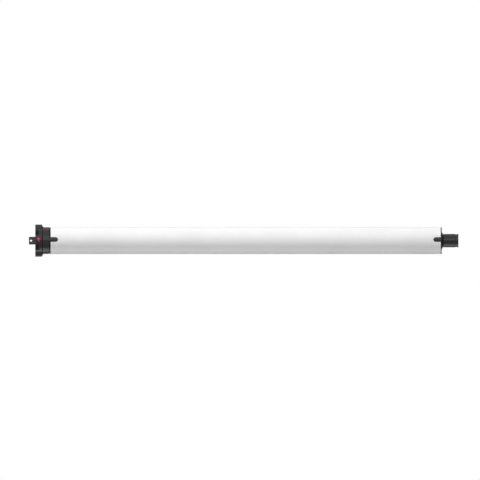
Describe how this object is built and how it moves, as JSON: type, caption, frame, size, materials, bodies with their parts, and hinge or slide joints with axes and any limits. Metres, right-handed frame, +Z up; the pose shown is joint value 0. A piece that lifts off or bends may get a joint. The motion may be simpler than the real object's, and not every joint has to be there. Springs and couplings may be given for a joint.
{
  "type": "tubular roller blind motor",
  "caption": "Slim battery tubular motor for a roller blind: white tube, black head with ears and a flat bracket tongue, red setting button, and a geared drive shaft at the far end.",
  "frame": {"origin": "on the tube's axis at the outer face of the head, where the bracket tongue comes out", "axes": "+X along the tube from the head to the drive shaft, -Y towards the setting button, +Z up through one of the head's ears"},
  "size_m": [0.3992, 0.0253, 0.03],
  "materials": {
    "tube": "satin white coat",
    "head_plastic": "moulded black",
    "tongue_steel": "black oxide",
    "button_red": "translucent red",
    "screw_steel": "zinc plated",
    "socket_metal": "stamped",
    "board_green": "solder mask",
    "shield_metal": "tinned",
    "chip_black": "moulded",
    "lamp_white": "diffuse",
    "contact_gold": "gold flash",
    "cell_blue": "shrink wrapped",
    "nickel": "bright",
    "paper": "fibre paper",
    "sleeve_blue": "shrink film",
    "foam_grey": "closed cell foam",
    "lead_red": "insulated",
    "motor_steel": "plated",
    "bell_plastic": "moulded",
    "magnet": "sintered",
    "bronze": "sintered",
    "carbon": "pressed",
    "shaft_steel": "ground",
    "core_steel": "laminated",
    "copper": "enamelled",
    "rubber_black": "moulded",
    "gear_resin": "acetal",
    "gear_brass": "cut",
    "carrier_steel": "sintered",
    "shaft_black": "black, satin"
  },
  "bodies": {
    "housing": {"body_tube": "tube", "head_cap": "head_plastic", "head_body": "head_plastic", "bracket_tongue": "tongue_steel", "cap_screws": "screw_steel", "head_screws": "screw_steel", "end_screws": "screw_steel", "usb_socket": "socket_metal", "control_board": "board_green", "radio_module": "shield_metal", "board_parts": "chip_black", "button_board": "board_green", "tact_switch": "chip_black", "status_lamp": "lamp_white", "link_pins": "contact_gold", "battery_cells": "cell_blue", "cell_links": "nickel", "cell_insulators": "paper", "battery_sleeve": "sleeve_blue", "pack_spacers": "foam_grey", "protection_board": "board_green", "wiring": "lead_red", "motor_can": "motor_steel", "motor_end_bell": "bell_plastic", "motor_magnets": "magnet", "motor_bushes": "bronze", "motor_brushes": "carbon", "hall_board": "board_green", "motor_grommet": "rubber_black", "motor_plate": "motor_steel", "motor_screws": "screw_steel", "ring_gear": "gear_resin", "end_cap": "head_plastic", "output_bush": "bronze"},
    "button": {"setting_button": "button_red"},
    "rotor": {"motor_shaft": "shaft_steel", "armature": "core_steel", "armature_coils": "copper", "commutator": "copper", "encoder_magnet": "magnet", "sun_gear": "gear_brass"},
    "first_carrier": {"carrier_1": "carrier_steel", "planet_pins_1": "shaft_steel"},
    "second_carrier": {"carrier_2": "carrier_steel", "planet_pins_2": "shaft_steel"},
    "output": {"output_carrier": "carrier_steel", "planet_pins_3": "shaft_steel", "output_shaft": "shaft_black", "shaft_clip": "screw_steel"},
    "planet_1a": {"planet_1a": "gear_resin"},
    "planet_1b": {"planet_1b": "gear_resin"},
    "planet_1c": {"planet_1c": "gear_resin"},
    "planet_2a": {"planet_2a": "gear_resin"},
    "planet_2b": {"planet_2b": "gear_resin"},
    "planet_2c": {"planet_2c": "gear_resin"},
    "planet_3a": {"planet_3a": "gear_resin"},
    "planet_3b": {"planet_3b": "gear_resin"},
    "planet_3c": {"planet_3c": "gear_resin"}
  },
  "joints": [
    {"name": "rotor_spin", "type": "hinge", "parent": "housing", "child": "rotor", "pos_m": [0.31, 0, 0], "axis": [1, 0, 0], "continuous": true},
    {"name": "first_carrier_spin", "type": "hinge", "parent": "housing", "child": "first_carrier", "pos_m": [0.344, 0, 0], "axis": [1, 0, 0], "continuous": true},
    {"name": "second_carrier_spin", "type": "hinge", "parent": "housing", "child": "second_carrier", "pos_m": [0.353, 0, 0], "axis": [1, 0, 0], "continuous": true},
    {"name": "output_spin", "type": "hinge", "parent": "housing", "child": "output", "pos_m": [0.378, 0, 0], "axis": [1, 0, 0], "continuous": true},
    {"name": "planet_1a_spin", "type": "hinge", "parent": "first_carrier", "child": "planet_1a", "pos_m": [0.3392, 0.006, 0], "axis": [1, 0, 0], "continuous": true},
    {"name": "planet_1b_spin", "type": "hinge", "parent": "first_carrier", "child": "planet_1b", "pos_m": [0.3392, -0.003, 0.0052], "axis": [1, 0, 0], "continuous": true},
    {"name": "planet_1c_spin", "type": "hinge", "parent": "first_carrier", "child": "planet_1c", "pos_m": [0.3392, -0.003, -0.0052], "axis": [1, 0, 0], "continuous": true},
    {"name": "planet_2a_spin", "type": "hinge", "parent": "second_carrier", "child": "planet_2a", "pos_m": [0.3483, 0.006, 0], "axis": [1, 0, 0], "continuous": true},
    {"name": "planet_2b_spin", "type": "hinge", "parent": "second_carrier", "child": "planet_2b", "pos_m": [0.3483, -0.003, 0.0052], "axis": [1, 0, 0], "continuous": true},
    {"name": "planet_2c_spin", "type": "hinge", "parent": "second_carrier", "child": "planet_2c", "pos_m": [0.3483, -0.003, -0.0052], "axis": [1, 0, 0], "continuous": true},
    {"name": "planet_3a_spin", "type": "hinge", "parent": "output", "child": "planet_3a", "pos_m": [0.3574, 0.006, 0], "axis": [1, 0, 0], "continuous": true},
    {"name": "planet_3b_spin", "type": "hinge", "parent": "output", "child": "planet_3b", "pos_m": [0.3574, -0.003, 0.0052], "axis": [1, 0, 0], "continuous": true},
    {"name": "planet_3c_spin", "type": "hinge", "parent": "output", "child": "planet_3c", "pos_m": [0.3574, -0.003, -0.0052], "axis": [1, 0, 0], "continuous": true},
    {"name": "button_press", "type": "slide", "parent": "housing", "child": "button", "axis": [0, 1, 0], "range_m": [0, 0.0005], "stiffness_N_per_m": 500, "springref_m": -0.0005}
  ],
  "couplings": [
    {"joint": "first_carrier_spin", "follows": "rotor_spin", "ratio": 0.2},
    {"joint": "second_carrier_spin", "follows": "rotor_spin", "ratio": 0.04},
    {"joint": "output_spin", "follows": "rotor_spin", "ratio": 0.008},
    {"joint": "planet_1a_spin", "follows": "rotor_spin", "ratio": -0.53333},
    {"joint": "planet_1b_spin", "follows": "rotor_spin", "ratio": -0.53333},
    {"joint": "planet_1c_spin", "follows": "rotor_spin", "ratio": -0.53333},
    {"joint": "planet_2a_spin", "follows": "rotor_spin", "ratio": -0.10667},
    {"joint": "planet_2b_spin", "follows": "rotor_spin", "ratio": -0.10667},
    {"joint": "planet_2c_spin", "follows": "rotor_spin", "ratio": -0.10667},
    {"joint": "planet_3a_spin", "follows": "rotor_spin", "ratio": -0.021333},
    {"joint": "planet_3b_spin", "follows": "rotor_spin", "ratio": -0.021333},
    {"joint": "planet_3c_spin", "follows": "rotor_spin", "ratio": -0.021333}
  ]
}
